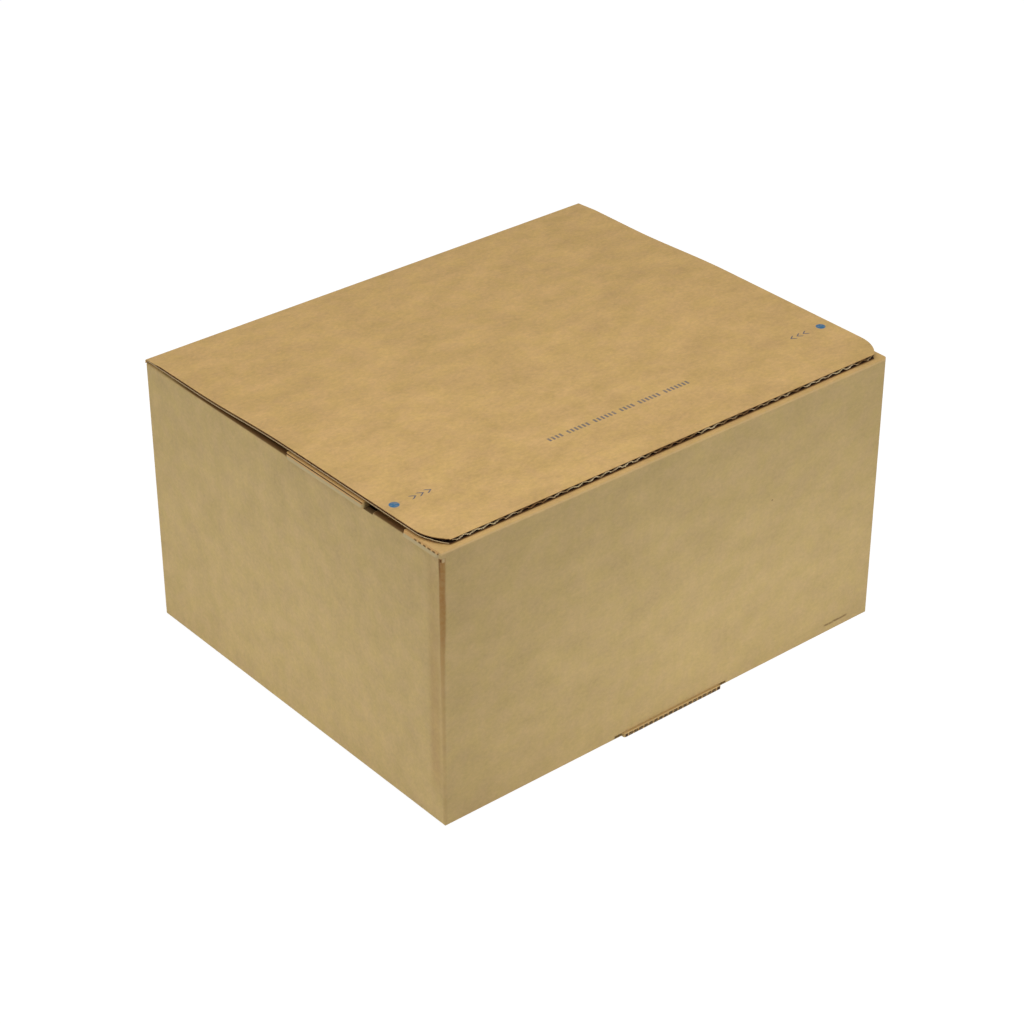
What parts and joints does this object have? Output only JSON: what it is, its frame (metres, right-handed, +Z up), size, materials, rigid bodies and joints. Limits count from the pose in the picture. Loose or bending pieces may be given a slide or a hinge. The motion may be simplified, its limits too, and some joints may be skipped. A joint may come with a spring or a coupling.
{
  "type": "folding shipping box",
  "caption": "Folding shipping box of corrugated board with a hinged lid over a closing flap, dust flaps, and a floor locked by a tab in a slot.",
  "frame": {"origin": "bottom centre of the closed box, on the surface that it stands on", "axes": "+Z up, +X along the front to the right, -Y out of the front wall, so the lid's crease lies at +Y"},
  "size_m": [0.2678, 0.2228, 0.1456],
  "materials": {
    "board": "matt brown kraft paper facing on corrugated board",
    "lid_board": "matt brown kraft paper facing on corrugated board"
  },
  "bodies": {
    "box_body": {"box_body": "board"},
    "lid": {"lid": "lid_board"}
  },
  "joints": [
    {"name": "lid_hinge", "type": "hinge", "parent": "box_body", "child": "lid", "pos_m": [0, 0.1114, 0.1403], "axis": [-1, 0, 0], "range_deg": [0, 180]}
  ]
}
